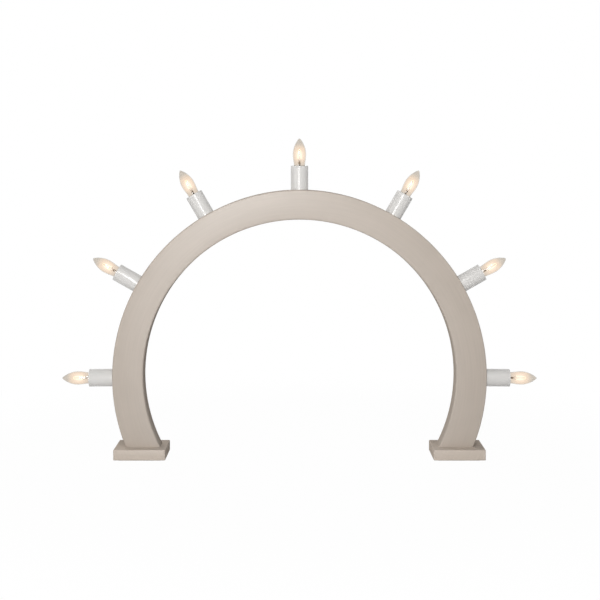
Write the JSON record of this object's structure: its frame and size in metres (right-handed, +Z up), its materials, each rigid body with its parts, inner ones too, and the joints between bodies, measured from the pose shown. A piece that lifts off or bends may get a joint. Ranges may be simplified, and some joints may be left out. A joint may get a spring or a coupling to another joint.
{
  "type": "electric candle arch",
  "caption": "Table-top wooden arch light whose screw-in candle bulbs stand out of it like rays, on two foot blocks, with a covered wire channel in the back.",
  "frame": {"origin": "on the surface it stands on, under the middle of the arch", "axes": "+X to the right as seen from the front, +Y to the back where the cable bushing is, +Z up"},
  "size_m": [0.556, 0.054, 0.3724],
  "materials": {
    "painted_wood": "satin taupe paint over wood, faint grain",
    "felt": "thin pressed felt",
    "screw_steel": "zinc plated",
    "hardboard": "smooth hardboard",
    "bushing_plastic": "moulded",
    "wire_insulation": "soft extruded insulation",
    "contact_brass": "stamped sheet",
    "sleeve_plastic": "smooth gloss white",
    "holder_plastic": "moulded thermoset",
    "solder": "soft solder button",
    "cap_brass": "rolled thread",
    "clear_glass": "clear blown glass",
    "filament": "wire on a glass mount"
  },
  "bodies": {
    "arch_assembly": {"arch": "painted_wood", "left_foot": "painted_wood", "right_foot": "painted_wood", "left_felt_pad": "felt", "right_felt_pad": "felt", "foot_screws": "screw_steel", "back_cover": "hardboard", "cover_screws": "screw_steel", "cable_bushing": "bushing_plastic", "series_wiring": "wire_insulation", "centre_contacts": "contact_brass", "candle_sleeve_1": "sleeve_plastic", "lampholder_1": "holder_plastic", "screw_shell_1": "contact_brass", "candle_sleeve_2": "sleeve_plastic", "lampholder_2": "holder_plastic", "screw_shell_2": "contact_brass", "candle_sleeve_3": "sleeve_plastic", "lampholder_3": "holder_plastic", "screw_shell_3": "contact_brass", "candle_sleeve_4": "sleeve_plastic", "lampholder_4": "holder_plastic", "screw_shell_4": "contact_brass", "candle_sleeve_5": "sleeve_plastic", "lampholder_5": "holder_plastic", "screw_shell_5": "contact_brass", "candle_sleeve_6": "sleeve_plastic", "lampholder_6": "holder_plastic", "screw_shell_6": "contact_brass", "candle_sleeve_7": "sleeve_plastic", "lampholder_7": "holder_plastic", "screw_shell_7": "contact_brass"},
    "bulb_1_carrier": {"bulb_tip_1": "solder"},
    "bulb_1": {"bulb_cap_1": "cap_brass", "bulb_glass_1": "clear_glass", "bulb_filament_1": "filament"},
    "bulb_2_carrier": {"bulb_tip_2": "solder"},
    "bulb_2": {"bulb_cap_2": "cap_brass", "bulb_glass_2": "clear_glass", "bulb_filament_2": "filament"},
    "bulb_3_carrier": {"bulb_tip_3": "solder"},
    "bulb_3": {"bulb_cap_3": "cap_brass", "bulb_glass_3": "clear_glass", "bulb_filament_3": "filament"},
    "bulb_4_carrier": {"bulb_tip_4": "solder"},
    "bulb_4": {"bulb_cap_4": "cap_brass", "bulb_glass_4": "clear_glass", "bulb_filament_4": "filament"},
    "bulb_5_carrier": {"bulb_tip_5": "solder"},
    "bulb_5": {"bulb_cap_5": "cap_brass", "bulb_glass_5": "clear_glass", "bulb_filament_5": "filament"},
    "bulb_6_carrier": {"bulb_tip_6": "solder"},
    "bulb_6": {"bulb_cap_6": "cap_brass", "bulb_glass_6": "clear_glass", "bulb_filament_6": "filament"},
    "bulb_7_carrier": {"bulb_tip_7": "solder"},
    "bulb_7": {"bulb_cap_7": "cap_brass", "bulb_glass_7": "clear_glass", "bulb_filament_7": "filament"}
  },
  "joints": [
    {"name": "bulb_1_rise", "type": "slide", "parent": "arch_assembly", "child": "bulb_1_carrier", "axis": [-0.9999, 0, -0.0105], "range_m": [0, 0.00636]},
    {"name": "bulb_1_unscrew", "type": "hinge", "parent": "bulb_1_carrier", "child": "bulb_1", "pos_m": [-0.21799, 0, 0.09212], "axis": [-0.9999, 0, -0.0105], "range_deg": [0, 1260]},
    {"name": "bulb_2_rise", "type": "slide", "parent": "arch_assembly", "child": "bulb_2_carrier", "axis": [-0.8695, 0, 0.4939], "range_m": [0, 0.00636]},
    {"name": "bulb_2_unscrew", "type": "hinge", "parent": "bulb_2_carrier", "child": "bulb_2", "pos_m": [-0.18955, 0, 0.20208], "axis": [-0.8695, 0, 0.4939], "range_deg": [0, 1260]},
    {"name": "bulb_3_rise", "type": "slide", "parent": "arch_assembly", "child": "bulb_3_carrier", "axis": [-0.503, 0, 0.8643], "range_m": [0, 0.00636]},
    {"name": "bulb_3_unscrew", "type": "hinge", "parent": "bulb_3_carrier", "child": "bulb_3", "pos_m": [-0.10966, 0, 0.28281], "axis": [-0.503, 0, 0.8643], "range_deg": [0, 1260]},
    {"name": "bulb_4_rise", "type": "slide", "parent": "arch_assembly", "child": "bulb_4_carrier", "axis": [0, 0, 1], "range_m": [0, 0.00636]},
    {"name": "bulb_4_unscrew", "type": "hinge", "parent": "bulb_4_carrier", "child": "bulb_4", "pos_m": [0, 0, 0.3124], "axis": [0, 0, 1], "range_deg": [0, 1260]},
    {"name": "bulb_5_rise", "type": "slide", "parent": "arch_assembly", "child": "bulb_5_carrier", "axis": [0.503, 0, 0.8643], "range_m": [0, 0.00636]},
    {"name": "bulb_5_unscrew", "type": "hinge", "parent": "bulb_5_carrier", "child": "bulb_5", "pos_m": [0.10966, 0, 0.28281], "axis": [0.503, 0, 0.8643], "range_deg": [0, 1260]},
    {"name": "bulb_6_rise", "type": "slide", "parent": "arch_assembly", "child": "bulb_6_carrier", "axis": [0.8695, 0, 0.4939], "range_m": [0, 0.00636]},
    {"name": "bulb_6_unscrew", "type": "hinge", "parent": "bulb_6_carrier", "child": "bulb_6", "pos_m": [0.18955, 0, 0.20208], "axis": [0.8695, 0, 0.4939], "range_deg": [0, 1260]},
    {"name": "bulb_7_rise", "type": "slide", "parent": "arch_assembly", "child": "bulb_7_carrier", "axis": [0.9999, 0, -0.0105], "range_m": [0, 0.00636]},
    {"name": "bulb_7_unscrew", "type": "hinge", "parent": "bulb_7_carrier", "child": "bulb_7", "pos_m": [0.21799, 0, 0.09212], "axis": [0.9999, 0, -0.0105], "range_deg": [0, 1260]}
  ],
  "couplings": [
    {"joint": "bulb_1_rise", "follows": "bulb_1_unscrew", "m_per_rad": 0.00028875},
    {"joint": "bulb_2_rise", "follows": "bulb_2_unscrew", "m_per_rad": 0.00028875},
    {"joint": "bulb_3_rise", "follows": "bulb_3_unscrew", "m_per_rad": 0.00028875},
    {"joint": "bulb_4_rise", "follows": "bulb_4_unscrew", "m_per_rad": 0.00028875},
    {"joint": "bulb_5_rise", "follows": "bulb_5_unscrew", "m_per_rad": 0.00028875},
    {"joint": "bulb_6_rise", "follows": "bulb_6_unscrew", "m_per_rad": 0.00028875},
    {"joint": "bulb_7_rise", "follows": "bulb_7_unscrew", "m_per_rad": 0.00028875}
  ]
}
